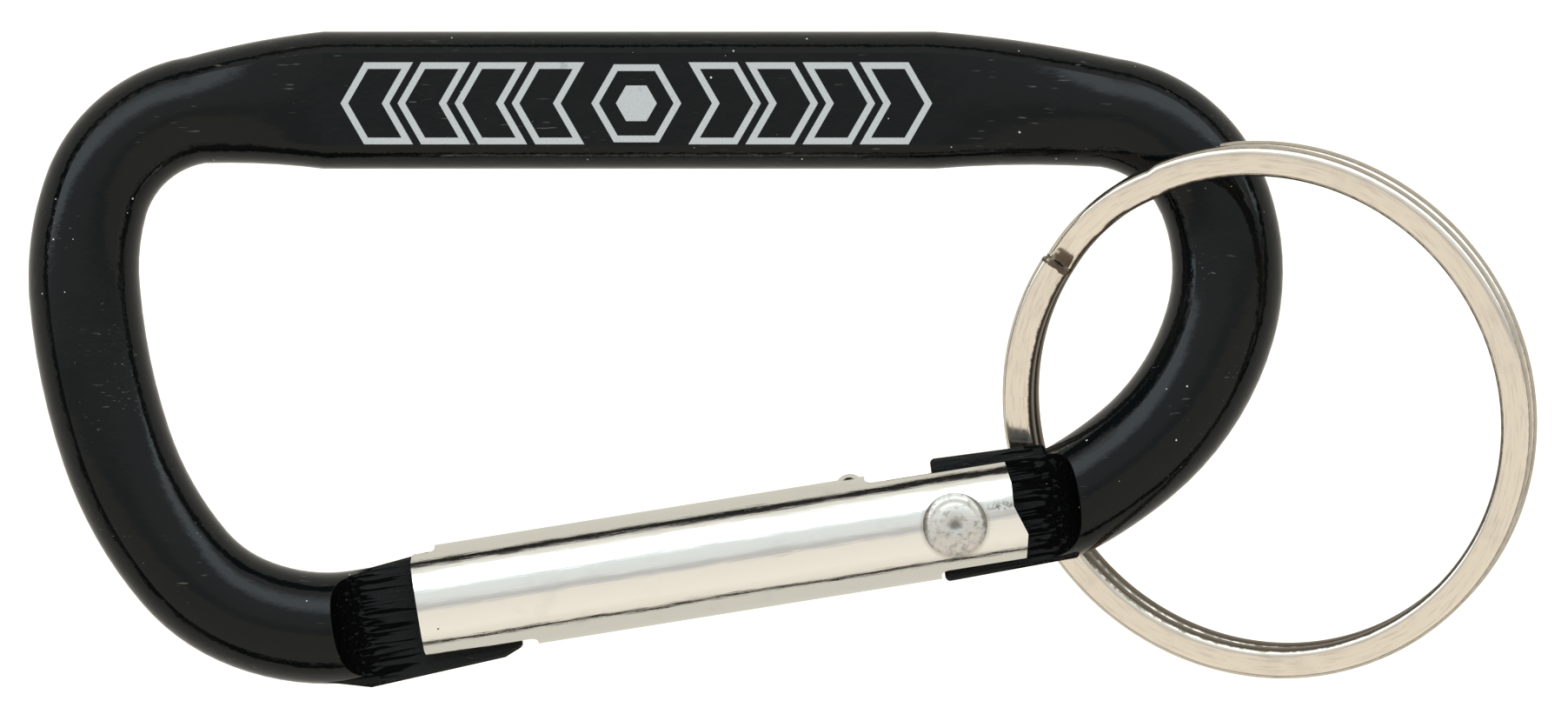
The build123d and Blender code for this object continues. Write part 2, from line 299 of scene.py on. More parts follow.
        # the lacquer's slight orange peel, and pits and cutter lines where it is milled
        peel = f.add(
            "TexNoise", {"Vector": place, "Scale": per_mm(self.peel), "Detail": 4, "Roughness": 0.6}
        )
        peel_bump = f.add("Bump", {"Height": peel, "Distance": self.peel_depth * MM, "Strength": 0.7})
        cut = f.add("Math", {0: lines, 1: pits}, operation="ADD")
        cut_height = f.add("Math", {0: cut, 1: milled}, operation="MULTIPLY")
        cut_bump = f.add(
            "Bump",
            {
                "Height": cut_height,
                "Distance": self.cut_depth * MM,
                "Strength": 1.0,
                "Normal": peel_bump,
            },
        )
        return f.close(
            f.add(
                "BsdfPrincipled",
                {
                    "Base Color": colour,
                    "Roughness": rough,
                    "Specular IOR Level": shine,
                    "Normal": cut_bump,
                },
            )
        )


@dataclass(frozen=True)
class MilledEnds:
    """Where the rod's ends are milled flat, in gate coordinates about the rivet, in millimetres."""

    cutter_radius: float = 3.0
    nose_half: float = 1.15
    nose_edge: float = -37.0
    hinge_half: float = 1.25
    hinge_edge: float = 5.1
    slack: float = 0.05
    tongue: float = 12.0  # longest stretch of milled face
    gate_half: float = 8.0  # how far from the gate's line the milled faces reach

    def end_mask(
        self,
        f: Finish,
        along: Socket,
        height: Socket,
        edge: float,
        half: float,
        side: int,
    ) -> tuple[Socket, Socket]:
        """Mask of one milled end.

        Args:
            f: the material being built.
            along: distance along the gate, in metres.
            height: distance from the mid-plane, in metres.
            edge: where the flat face ends.
            half: half the tongue's thickness.
            side: direction in which the cutter runs out.

        Returns:
            1 on the tongue and its run-out, 0 elsewhere, and the distance past the flat's edge.
        """
        past = f.add("Math", {0: along, 1: edge * MM}, operation="SUBTRACT")
        run = f.add("Math", {0: past, 1: float(side)}, operation="MULTIPLY")
        ahead = f.add("Math", {0: run, 1: 0.0}, operation="MAXIMUM")
        drop = f.add("Math", {0: (half + self.cutter_radius) * MM, 1: height}, operation="SUBTRACT")
        pair = f.add("CombineXYZ", {0: ahead, 1: drop})
        reach = f.add("VectorMath", {0: pair}, out="Value", operation="LENGTH")
        cut = f.add(
            "Math", {0: reach, 1: self.cutter_radius * MM, 2: self.slack * MM}, operation="COMPARE"
        )
        low = (self.cutter_radius - self.slack) * MM
        walls = f.add("Math", {0: reach, 1: low}, operation="GREATER_THAN")
        tongue = f.add("Math", {0: run, 1: 0.0}, operation="LESS_THAN")
        walls = f.add("Math", {0: walls, 1: tongue}, operation="MULTIPLY")
        outside = f.add("Math", {0: cut, 1: walls}, operation="MAXIMUM")
        near = f.add("Math", {0: run, 1: self.cutter_radius * MM}, operation="LESS_THAN")
        far = f.add("Math", {0: run, 1: -self.tongue * MM}, operation="GREATER_THAN")
        under = f.add(
            "Math", {0: height, 1: (half + self.cutter_radius) * MM}, operation="LESS_THAN"
        )
        both = f.add("Math", {0: near, 1: far}, operation="MULTIPLY")
        inside = f.add("Math", {0: outside, 1: under}, operation="MULTIPLY")
        return f.add("Math", {0: both, 1: inside}, operation="MULTIPLY"), run

    def mask(self, f: Finish, gate: Socket) -> tuple[Socket, Socket]:
        """Mask of both milled ends.

        Args:
            f: the material being built.
            gate: position in gate coordinates, in metres.

        Returns:
            1 on the milled faces, 0 on the rod, and the distance past the nearer flat's edge.
        """
        along, across, up = f.add("SeparateXYZ", {0: gate}).node.outputs
        height = f.add("Math", {0: up}, operation="ABSOLUTE")
        nose, nose_run = self.end_mask(f, along, height, self.nose_edge, self.nose_half, -1)
        hinge, hinge_run = self.end_mask(f, along, height, self.hinge_edge, self.hinge_half, 1)
        # the spine passes at the same distance along the gate, so keep to the gate's own line
        beside = f.add("Math", {0: across}, operation="ABSOLUTE")
        close = f.add("Math", {0: beside, 1: self.gate_half * MM}, operation="LESS_THAN")
        either = f.add("Math", {0: nose, 1: hinge}, operation="MAXIMUM")
        run = f.add("Math", {0: nose_run, 1: hinge_run}, operation="MAXIMUM")
        return f.add("Math", {0: either, 1: close}, operation="MULTIPLY"), run


@dataclass(frozen=True)
class PolishedTube:
    """Bright drawn aluminium tube with faint lines along it and small handling marks.

    Sizes are in millimetres.
    """

    metal: str = "#eceae4"  # bright, very slightly warm aluminium
    stain: str = "#84817b"  # smudges left by handling, and darker round the rivet's head
    roughness: float = 0.055
    roughness_spread: float = 0.05
    drawn: float = 0.12  # width of a drawing line
    wave: float = 2.2
    scratch: float = 0.3
    speck_spacing: float = 2.4
    speck: float = 0.07  # radius of the largest speck, as a share of the spacing
    smudge: float = 3.5
    wave_depth: float = 0.1
    drawn_depth: float = 0.009
    scratch_depth: float = 0.006
    head_ring: tuple[float, float] = (2.35, 2.0)  # the tube is darker between these radii of the rivet
    smear_at: tuple[float, float] = (3.1, 0.75)  # middle of the smear beside the rivet
    smear_aspect: float = 3.6
    smear_half: tuple[float, float] = (0.42, 0.1)
    smear_patch: float = 0.35

    def build(self, rivet: Vector) -> Material:
        """Makes the material.

        Args:
            rivet: the gate's pivot point.

        Returns:
            The material.
        """
        f = Finish(bpy.data.materials.new("polished_aluminium"))
        place = f.add("TexCoord", out="Object")
        gate = f.add(
            "Mapping",
            {"Vector": place, "Location": rivet, "Rotation": (0, 0, GATE_SLOPE)},
            vector_type="TEXTURE",
        )
        drawn_at = f.add("Mapping", {"Vector": gate, "Scale": (0.07, 1, 1)})
        drawn = f.add(
            "TexNoise",
            {"Vector": drawn_at, "Scale": per_mm(self.drawn), "Detail": 3, "Roughness": 0.6},
        )
        wave_at = f.add("Mapping", {"Vector": gate, "Scale": (0.45, 1, 1)})
        wave = f.add(
            "TexNoise",
            {"Vector": wave_at, "Scale": per_mm(self.wave), "Detail": 2, "Roughness": 0.5},
        )
        scratch_at = f.add(
            "Mapping", {"Vector": gate, "Rotation": (0, 0, 0.4), "Scale": (0.12, 1, 1)}
        )
        scored = f.add(
            "TexNoise",
            {"Vector": scratch_at, "Scale": per_mm(self.scratch), "Detail": 2, "Roughness": 0.55},
        )
        scratch = f.add("MapRange", {0: scored, 1: 0.72, 2: 0.8}, **SOFT)
        far = f.add("TexVoronoi", {"Vector": place, "Scale": per_mm(self.speck_spacing)}, "Distance")
        kept = f.add(
            "MapRange",
            {0: far.node.outputs["Color"], 1: 0.7, 2: 1.0, 3: 0.0, 4: self.speck},
            **SOFT,
        )
        speck = f.add("Math", {0: kept, 1: far}, operation="GREATER_THAN")
        cloudy = f.add(
            "TexNoise",
            {"Vector": place, "Scale": per_mm(self.smudge), "Detail": 5, "Roughness": 0.55},
        )
        smudge = f.add("MapRange", {0: cloudy, 1: 0.56, 2: 0.78, 3: 0.0, 4: 0.12}, **SOFT)
        worn = f.add("Math", {0: smudge, 1: speck}, operation="MAXIMUM")
        # darker in a ring round the rivet's head, and a smear of dirt beside it
        worn = f.add("Math", {0: worn, 1: self.darkening(f, gate)}, operation="MAXIMUM")
        colour = f.add("Mix", {0: worn, 6: linear(self.metal), 7: linear(self.stain)}, **TINTS)
        rough_base = f.add(
            "MapRange",
            {
                0: drawn,
                1: 0.3,
                2: 0.7,
                3: self.roughness,
                4: self.roughness + self.roughness_spread,
            },
            **SOFT,
        )
        rough = f.add("Math", {0: rough_base, 1: smudge}, operation="ADD")
        wavy = f.add("Bump", {"Height": wave, "Distance": self.wave_depth * MM, "Strength": 0.6})
        lined = f.add(
            "Bump",
            {"Height": drawn, "Distance": self.drawn_depth * MM, "Strength": 0.6, "Normal": wavy},
        )
        worn_in = f.add(
            "Bump",
            {
                "Height": scratch,
                "Distance": -self.scratch_depth * MM,
                "Strength": 0.5,
                "Normal": lined,
            },
        )
        return f.close(
            f.add(
                "BsdfPrincipled",
                {"Base Color": colour, "Metallic": 1.0, "Roughness": rough, "Normal": worn_in},
            )
        )

    def darkening(self, f: Finish, gate: Socket) -> Socket:
        """Darker in a ring round the rivet's head, and dirt in a smear between it and the tube's end.

        Args:
            f: the material being built.
            gate: position in gate coordinates, in metres.

        Returns:
            The share of darkening and dirt.
        """
        flat = f.add("Mapping", {"Vector": gate, "Scale": (1, 1, 0)})
        radius = f.add("VectorMath", {0: flat}, out="Value", operation="LENGTH")
        # darker in a ring just round the rivet's head
        ring = f.add(
            "MapRange",
            {0: radius, 1: self.head_ring[0] * MM, 2: self.head_ring[1] * MM, 3: 0, 4: 0.4},
            **SOFT,
        )
        middle = (self.smear_at[0] * MM, self.smear_at[1] * MM, 0)
        smear_at = f.add(
            "Mapping",
            {"Vector": gate, "Location": middle, "Scale": (self.smear_aspect, 1, 0)},
            vector_type="TEXTURE",
        )
        off = f.add("VectorMath", {0: smear_at}, out="Value", operation="LENGTH")
        smear = f.add(
            "MapRange", {0: off, 1: self.smear_half[0] * MM, 2: self.smear_half[1] * MM}, **SOFT
        )
        dark_patches = f.add(
            "TexNoise",
            {"Vector": gate, "Scale": per_mm(self.smear_patch), "Detail": 4, "Roughness": 0.7},
        )
        patchy = f.add("MapRange", {0: dark_patches, 1: 0.4, 2: 0.62}, **SOFT)
        smear = f.add("Math", {0: smear, 1: patchy}, operation="MULTIPLY")
        return f.add("Math", {0: ring, 1: smear}, operation="MAXIMUM")


@dataclass(frozen=True)
class HeadedRivet:
    """Dull aluminium of a headed rivet: scuffed, and darker in its low places.

    Sizes are in millimetres.
    """

    metal: str = "#d6d1ca"  # pale, warm matt aluminium
    scuff: str = "#87827c"  # darker scuffs
    darkening: str = "#3c3835"  # darker in the punch mark and faintly round the rim
    roughness: float = 0.42
    mottle: float = 0.45
    mottle_depth: float = 0.03
    waver: float = 0.3  # how far the edges of the darker places stray
    punch: tuple[float, float] = (0.75, 0.25)  # darker between these radii
    rim: float = 1.78
    rim_darkening: float = 0.12

    def build(self, rivet: Vector) -> Material:
        """Makes the material.

        Args:
            rivet: the rivet's centre.

        Returns:
            The material.
        """
        f = Finish(bpy.data.materials.new("headed_aluminium_rivet"))
        place = f.add("TexCoord", out="Object")
        local = f.add("Mapping", {"Vector": place, "Location": rivet}, vector_type="TEXTURE")
        flat = f.add("Mapping", {"Vector": local, "Scale": (1, 1, 0)})
        radius = f.add("VectorMath", {0: flat}, out="Value", operation="LENGTH")
        mottle = f.add(
            "TexNoise",
            {"Vector": place, "Scale": per_mm(self.mottle), "Detail": 5, "Roughness": 0.65},
        )
        stray = f.add("MapRange", {0: mottle, 1: 0.2, 2: 0.8, 3: 0, 4: self.waver * MM}, **SOFT)
        radius = f.add("Math", {0: stray, 1: radius}, operation="ADD")
        # darker in the punch mark and faintly round the rim
        centre = f.add(
            "MapRange",
            {0: radius, 1: self.punch[0] * MM, 2: self.punch[1] * MM, 3: 0, 4: 0.7},
            **SOFT,
        )
        ring = f.add(
            "MapRange", {0: radius, 1: self.rim * MM, 2: (self.rim + self.waver) * MM}, **SOFT
        )
        faint = f.add("Math", {0: ring, 1: self.rim_darkening}, operation="MULTIPLY")
        dark_patches = f.add("Math", {0: centre, 1: faint}, operation="MAXIMUM")
        scuff = f.add("MapRange", {0: mottle, 1: 0.46, 2: 0.72, 3: 0, 4: 0.75}, **SOFT)
        colour = f.add("Mix", {0: scuff, 6: linear(self.metal), 7: linear(self.scuff)}, **TINTS)
        colour = f.add("Mix", {0: dark_patches, 6: colour, 7: linear(self.darkening)}, **TINTS)
        rough = f.add(
            "MapRange",
            {0: mottle, 1: 0.3, 2: 0.7, 3: self.roughness - 0.05, 4: self.roughness + 0.12},
            **SOFT,
        )
        bump = f.add("Bump", {"Height": mottle, "Distance": self.mottle_depth * MM, "Strength": 0.5})
        return f.close(
            f.add(
                "BsdfPrincipled",
                {"Base Color": colour, "Metallic": 1.0, "Roughness": rough, "Normal": bump},
            )
        )


@dataclass(frozen=True)
class SpringSteel:
    """Plain drawn spring steel, lightly oiled."""

    metal: str = "#a9a8a6"  # neutral grey steel
    oil: str = "#5b554c"  # brownish film of oil
    roughness: float = 0.28
    oiled_roughness: float = 0.43
    oil_share: float = 0.6
    film: float = 0.9  # size of a patch of oil, in millimetres
    grain: float = 0.08  # millimetres
    grain_depth: float = 0.004  # millimetres

    def build(self) -> Material:
        """Makes the material.

        Returns:
            The material.
        """
        f = Finish(bpy.data.materials.new("spring_steel"))
        place = f.add("TexCoord", out="Object")
        patches = f.add(
            "TexNoise",
            {"Vector": place, "Scale": per_mm(self.film), "Detail": 4, "Roughness": 0.55},
        )
        film = f.add("MapRange", {0: patches, 1: 0.4, 2: 0.7, 3: 0, 4: self.oil_share}, **SOFT)
        colour = f.add("Mix", {0: film, 6: linear(self.metal), 7: linear(self.oil)}, **TINTS)
        rough = f.add(
            "MapRange",
            {0: film, 1: 0, 2: self.oil_share, 3: self.roughness, 4: self.oiled_roughness},
            **SOFT,
        )
        grain = f.add(
            "TexNoise",
            {"Vector": place, "Scale": per_mm(self.grain), "Detail": 2, "Roughness": 0.55},
        )
        bump = f.add("Bump", {"Height": grain, "Distance": self.grain_depth * MM, "Strength": 0.4})
        return f.close(
            f.add(
                "BsdfPrincipled",
                {"Base Color": colour, "Metallic": 1.0, "Roughness": rough, "Normal": bump},
            )
        )


@dataclass(frozen=True)
class NickelPlate:
    """Warm nickel plate on rolled steel wire, with painted shade along the wire's edges and at the
    cut end.

    Sizes are in millimetres.
    """

    metal: str = "#e6ddd0"  # warm nickel on the wire's faces
    edge: str = "#4a3a2a"  # painted shade on the wire's edges and at the cut end
    streak: str = "#a6988a"  # rolling lines along the wire
    roughness: float = 0.1
    edge_roughness: float = 0.4
    rolled: float = 0.16  # width of a rolling line
    rolled_depth: float = 0.006
    turn_stretch: float = 1.2  # one radian round the ring counts as this much for the lines
    rag: float = 0.07  # how far the edges' painted shade strays
    inner_edge: tuple[float, float] = (0.24, 0.1)  # painted shade grows between these insets
    outer_edge: tuple[float, float] = (0.16, 0.02)
    blotch: float = 2.6
    cut_half: tuple[float, float] = (0.008, 0.003)  # radians each side of the cut end

    def build(self, to_ring: Matrix, middle: float, half: float, cut: float) -> Material:
        """Makes the material.

        Args:
            to_ring: the ring's own frame.
            middle: radius of the wire's centre line, in metres.
            half: half the wire's width, in metres.
            cut: angle of the front layer's free end, in degrees.

        Returns:
            The material.
        """
        f = Finish(bpy.data.materials.new("nickel_plated_steel"))
        place = f.add("TexCoord", out="Object")
        local = f.add(
            "Mapping",
            {"Vector": place, "Location": to_ring.translation, "Rotation": to_ring.to_euler()},
            vector_type="TEXTURE",
        )
        right, forward, _ = f.add("SeparateXYZ", {0: local}).node.outputs
        flat = f.add("Mapping", {"Vector": local, "Scale": (1, 1, 0)})
        radius = f.add("VectorMath", {0: flat}, out="Value", operation="LENGTH")
        # rolling lines follow the wire: noise over the radius, slowly changing round the ring
        turn = f.add("Math", {0: forward, 1: right}, operation="ARCTAN2")
        turned = f.add("Math", {0: turn, 1: self.turn_stretch * MM}, operation="MULTIPLY")
        rolled_at = f.add("CombineXYZ", {0: radius, 1: turned})
        rolled = f.add(
            "TexNoise",
            {"Vector": rolled_at, "Scale": per_mm(self.rolled), "Detail": 4, "Roughness": 0.6},
        )
        off = f.add("Math", {0: radius, 1: middle}, operation="SUBTRACT")
        uneven = f.add(
            "TexNoise", {"Vector": place, "Scale": per_mm(0.5), "Detail": 3, "Roughness": 0.55}
        )
        rag = f.add(
            "MapRange", {0: uneven, 1: 0.2, 2: 0.8, 3: -self.rag * MM, 4: self.rag * MM}, **SOFT
        )
        off = f.add("Math", {0: off, 1: rag}, operation="ADD")
        # painted shade along the wire's inner and outer edges
        start, full = self.inner_edge
        inner = f.add(
            "MapRange", {0: off, 1: start * MM - half, 2: full * MM - half, 3: 0.0, 4: 0.85}, **SOFT
        )
        start, full = self.outer_edge
        outer = f.add(
            "MapRange", {0: off, 1: half - start * MM, 2: half - full * MM, 3: 0.0, 4: 0.3}, **SOFT
        )
        edge = f.add("Math", {0: inner, 1: outer}, operation="MAXIMUM")
        # painted shade at and beside the front layer's cut end
        to_cut = f.add("Math", {0: turn, 1: math.radians(cut)}, operation="SUBTRACT")
        to_cut = f.add("Math", {0: to_cut}, operation="ABSOLUTE")
        torn = f.add(
            "TexNoise", {"Vector": place, "Scale": per_mm(0.6), "Detail": 3, "Roughness": 0.55}
        )
        ragged = f.add("MapRange", {0: torn, 1: 0.3, 2: 0.7, 3: -0.002, 4: 0.006}, **SOFT)
        to_cut = f.add("Math", {0: to_cut, 1: ragged}, operation="ADD")
        at_cut = f.add(
            "MapRange",
            {0: to_cut, 1: self.cut_half[0], 2: self.cut_half[1], 3: 0.0, 4: 0.95},
            **SOFT,
        )
        edge = f.add("Math", {0: edge, 1: at_cut}, operation="MAXIMUM")
        lines = f.add("MapRange", {0: rolled, 1: 0.48, 2: 0.68, 3: 0, 4: 0.3}, **SOFT)
        colour = f.add("Mix", {0: lines, 6: linear(self.metal), 7: linear(self.streak)}, **TINTS)
        patches = f.add(
            "TexNoise",
            {"Vector": place, "Scale": per_mm(self.blotch), "Detail": 4, "Roughness": 0.55},
        )
        blotch = f.add("MapRange", {0: patches, 1: 0.5, 2: 0.8, 3: 0, 4: 0.25}, **SOFT)
        colour = f.add("Mix", {0: blotch, 6: colour, 7: linear(self.streak)}, **TINTS)
        # the painted shade on the edges and the cut end goes on last
        colour = f.add("Mix", {0: edge, 6: colour, 7: linear(self.edge)}, **TINTS)
        rough_face = f.add(
            "MapRange",
            {0: rolled, 1: 0.3, 2: 0.7, 3: self.roughness, 4: self.roughness + 0.1},
            **SOFT,
        )
        rough = f.add("Mix", {0: edge, 2: rough_face, 3: self.edge_roughness})
        bump = f.add("Bump", {"Height": rolled, "Distance": self.rolled_depth * MM, "Strength": 0.4})
        return f.close(
            f.add(
                "BsdfPrincipled",
                {"Base Color": colour, "Metallic": 1.0, "Roughness": rough, "Normal": bump},
            )
        )


@dataclass(frozen=True)
class PadInk:
    """Pale grey pad-printing ink, thin and slightly worn."""

    ink: str = "#b4b6b6"  # matt light grey ink
    thin: str = "#6d6f6f"  # places where the black shows through
    roughness: float = 0.55
    grain: float = 0.12  # millimetres
    grain_depth: float = 0.004  # millimetres
    wear: float = 1.1  # size of a worn patch, in millimetres

    def build(self) -> Material:
        """Makes the material.

        Returns:
            The material.
        """
        f = Finish(bpy.data.materials.new("pad_printing_ink"))
        place = f.add("TexCoord", out="Object")
        grain = f.add(
            "TexNoise",
            {"Vector": place, "Scale": per_mm(self.grain), "Detail": 4, "Roughness": 0.7},
        )
        patches = f.add(
            "TexNoise", {"Vector": place, "Scale": per_mm(self.wear), "Detail": 5, "Roughness": 0.7}
        )
        wear = f.add("MapRange", {0: patches, 1: 0.6, 2: 0.74, 3: 0, 4: 0.5}, **SOFT)
        fine = f.add("MapRange", {0: grain, 1: 0.45, 2: 0.75, 3: 0, 4: 0.35}, **SOFT)
        thin = f.add("Math", {0: wear, 1: fine}, operation="MAXIMUM")
        colour = f.add("Mix", {0: thin, 6: linear(self.ink), 7: linear(self.thin)}, **TINTS)
        bump = f.add("Bump", {"Height": grain, "Distance": self.grain_depth * MM, "Strength": 0.4})
        return f.close(
            f.add(
                "BsdfPrincipled",
                {"Base Color": colour, "Roughness": self.roughness, "Normal": bump},
            )
        )


# ------------------------------------------------------------------ modelling by hand


def alone(obj: Object | None = None) -> None:
    """Leaves only one object selected and active.

    Args:
        obj: the object, or nothing to clear the selection.
    """
    bpy.ops.object.select_all(action="DESELECT")
    if obj is not None:
        obj.select_set(True)
        bpy.context.view_layer.objects.active = obj


def named(name: str) -> Object:
    """Names the object just added and settles it at the origin, unturned and unscaled.

    Args:
        name: the piece's name.

    Returns:
        The object.
    """
    obj = bpy.context.object
    obj.name = obj.data.name = name
    bpy.ops.object.transform_apply(location=True, rotation=True, scale=True)
    return obj


def edit(obj: Object, mode: str = "VERT", every: bool = False) -> None:
    """Opens a mesh for editing.

    Args:
        obj: the mesh object.
        mode: what is selected: VERT, EDGE or FACE.
        every: select everything to begin with.
    """
    alone(obj)
    bpy.ops.object.mode_set(mode="EDIT")
    bpy.ops.mesh.select_mode(type=mode)
    bpy.ops.mesh.select_all(action="SELECT" if every else "DESELECT")


def done() -> None:
    """Leaves edit mode."""
    bpy.ops.object.mode_set(mode="OBJECT")


def pick_faces(obj: Object, wanted: Callable[[bpy.types.MeshPolygon], bool]) -> None:
    """Selects faces of the open mesh by a test on each face.

    Args:
        obj: the mesh object, in edit mode.
        wanted: function of a face that returns True for the wanted ones.
    """
    bpy.ops.mesh.select_mode(type="FACE")
    bpy.ops.mesh.select_all(action="DESELECT")
    done()
    for face in obj.data.polygons:
        face.select = bool(wanted(face))
    bpy.ops.object.mode_set(mode="EDIT")


def pick_points(obj: Object, wanted: Callable[[Vector], bool]) -> None:
    """Selects vertices of the open mesh by a test on each place.

    Args:
        obj: the mesh object, in edit mode.
        wanted: function of a place that returns True for the wanted ones.
    """
    bpy.ops.mesh.select_mode(type="VERT")
    bpy.ops.mesh.select_all(action="DESELECT")
    done()
    for point in obj.data.vertices:
        point.select = bool(wanted(point.co))
    bpy.ops.object.mode_set(mode="EDIT")


def tidy(obj: Object, angle: float = 35.0) -> None:
    """Merges doubles, turns faces outward and shades smooth up to an angle.

    Args:
        obj: the mesh object.
        angle: edges sharper than this stay sharp, in degrees.
    """
    edit(obj, every=True)
    bpy.ops.mesh.remove_doubles(threshold=0.002 * MM)
    bpy.ops.mesh.normals_make_consistent(inside=False)
    done()
    bpy.ops.object.shade_smooth_by_angle(angle=math.radians(angle))


def twin(obj: Object, name: str) -> Object:
    """Copies a piece with a mesh of its own.

    Args:
        obj: the piece.
        name: the copy's name.

    Returns:
        The copy.
    """
    alone(obj)
    bpy.ops.object.duplicate()
    copy = bpy.context.object
    copy.name = copy.data.name = name
    return copy


def turn_onto(obj: Object, frame: Matrix) -> None:
    """Places a piece modelled about the origin into a frame and applies it.

    Args:
        obj: the piece.
        frame: where it goes.
    """
    obj.matrix_world = frame @ obj.matrix_world
    alone(obj)
    bpy.ops.object.transform_apply(location=True, rotation=True, scale=True)


def wind(turn: float, rise: float, steps: int) -> None:
    """Draws the selected section round Z and up, in even steps, counter-clockwise.

    Args:
        turn: whole turn in degrees.
        rise: whole rise, in metres.
        steps: number of steps.
    """
    for _ in range(steps):
        bpy.ops.mesh.spin(
            steps=1, angle=-math.radians(turn / steps), center=(0, 0, 0), axis=(0, 0, 1)
        )
        if rise:
            bpy.ops.transform.translate(value=(0, 0, rise / steps))


def cap_ends() -> None:
    """Closes the two open ends of the open mesh."""
    bpy.ops.mesh.select_mode(type="EDGE")
    bpy.ops.mesh.select_all(action="DESELECT")
    bpy.ops.mesh.select_non_manifold()
    bpy.ops.mesh.edge_face_add()


def dress(obj: Object, material: Material, body: str) -> Object:
    """Gives a piece its finish, body and material slot.

    Args:
        obj: the piece.
        material: its finish.
        body: the CAD body it moves with.

    Returns:
        The piece.
    """
    obj.data.materials.clear()
    obj.data.materials.append(material)
    if "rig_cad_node" not in obj:
        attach(obj, body)
    log.info("%s: %d faces", obj.name, len(obj.data.polygons))
    return obj


# ------------------------------------------------------------------ sub-assemblies


class Places:
    """Where things are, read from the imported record."""

    def __init__(self, frame: dict) -> None:
        """Reads joints and mounts.
        """
        self.joints = {j["name"]: j for j in frame["joints"]}
        self.mounts = {m["name"]: m for m in frame["record"]["mounts"]}
        self.nodes = frame["nodes"]
        self.rivet = Vector(self.joints["gate_pivot"]["pos_m"])
        self.along = Vector((math.cos(GATE_SLOPE), math.sin(GATE_SLOPE), 0))
        self.across = Vector((-math.sin(GATE_SLOPE), math.cos(GATE_SLOPE), 0))

    def mount(self, name: str) -> Vector:
        """Place of a mount."""
        return Vector(self.mounts[name]["pos_m"])

    def ring_frame(self) -> Matrix:
        """Frame of the split ring: Z along its axis, X as near the part's X as can be.

        Returns:
            The frame.
        """
        normal = Vector(self.mounts["key_ring"]["axis"]).normalized()
        right = (Vector((1, 0, 0)) - normal * normal.x).normalized()
        turned = Matrix((right, normal.cross(right), normal)).transposed()
        return Matrix.Translation(self.mount("key_ring")) @ turned.to_4x4()


@dataclass(frozen=True)
class RodBody:
    """The bent rod, shown as the CAD made it."""

    finish: Lacquer = Lacquer()
    ends: MilledEnds = MilledEnds()

    def dress(self, places: Places) -> None:
        """Puts the lacquer on the rod.

        Args:
            places: where things are.
        """
        lacquer = self.finish.build(places.rivet, self.ends)
        dress(places.nodes["frame"], lacquer, "frame")


@dataclass(frozen=True)
class GateTube:
    """The gate's tube and the plunger inside it, shown as the CAD made them."""

    finish: PolishedTube = PolishedTube()
    steel: SpringSteel = SpringSteel()

    def dress(self, places: Places) -> None:
        """Puts the polish on the tube and plain steel on the plunger.

        Args:
            places: where things are.
        """
        dress(places.nodes["gate_sleeve"], self.finish.build(places.rivet), "gate")
        dress(places.nodes["spring_plunger"], self.steel.build(), "plunger")


@dataclass(frozen=True)
class Rivet:
    """The hinge rivet: a shank and two headed domes with a punch mark. Sizes in millimetres."""

    shank: float = 2.0
    seat: float = 3.15
    head: float = 4.06
    rim_height: float = 0.1
    # profile from the rim to the middle: how far in and how far up each step goes
    steps: tuple[tuple[float, float], ...] = (
        (0.12, 0.08),
        (0.14, 0.1),
        (0.16, 0.07),
        (0.1, -0.025),
        (0.14, 0.06),
        (0.35, 0.09),
        (0.4, 0.05),
    )
    punch: tuple[tuple[float, float], ...] = ((0.3, -0.05), (0.12, -0.04))
    shank_lip: float = 0.1
    shank_taper: float = 0.9
    crease: float = 50.0  # edges of the head sharper than this stay sharp, in degrees
    segments: int = 96
    finish: HeadedRivet = HeadedRivet()

    def head_piece(self) -> Object:
        """Models one head above the origin's plane.

        Returns:
            The head, about the origin.
        """
        alone()
        bpy.ops.mesh.primitive_cylinder_add(
            vertices=self.segments,
            radius=self.head / 2 * MM,
            depth=self.rim_height * MM,
            location=(0, 0, self.rim_height / 2 * MM),
        )
        obj = named("rivet_head_front")
        edit(obj, "FACE")
        top = self.rim_height * MM
        pick_faces(obj, lambda face: face.normal.z > FACING and face.center.z > top / 2)
        for width, rise in self.steps + self.punch:
            bpy.ops.mesh.inset(thickness=width * MM, depth=rise * MM)
        done()
        tidy(obj, self.crease)
        return obj

    def shank_piece(self, middle: Vector) -> Object:
        """Models the shank between the two heads.

        Args:
            middle: the rivet's centre.

        Returns:
            The shank.
        """
        alone()
        bpy.ops.mesh.primitive_cylinder_add(
            vertices=self.segments,
            radius=self.shank / 2 * MM,
            depth=(2 * self.seat + self.rim_height) * MM,
            location=middle,
        )
        obj = named("rivet_shank")
        edit(obj, "FACE")
        pick_faces(obj, lambda face: abs(face.normal.z) > FACING)
        bpy.ops.mesh.inset(thickness=self.shank_lip * MM, depth=0)
        bpy.ops.transform.resize(value=(self.shank_taper, self.shank_taper, 1))
        done()
        tidy(obj)
        return obj

    def dress(self, places: Places) -> None:
        """Builds the rivet and places it on the gate's pivot.

        Args:
            places: where things are.
        """
        metal = self.finish.build(places.rivet)
        front = self.head_piece()
        rear = twin(front, "rivet_head_rear")
        up = Vector((0, 0, self.seat * MM))
        turn_onto(front, Matrix.Translation(places.rivet + up))
        turned_over = Matrix.Rotation(math.pi, 4, "X")
        turn_onto(rear, Matrix.Translation(places.rivet - up) @ turned_over)
        shank = self.shank_piece(places.rivet)
        for piece in (front, rear, shank):
            dress(piece, metal, "gate")
        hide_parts("hinge_rivet")


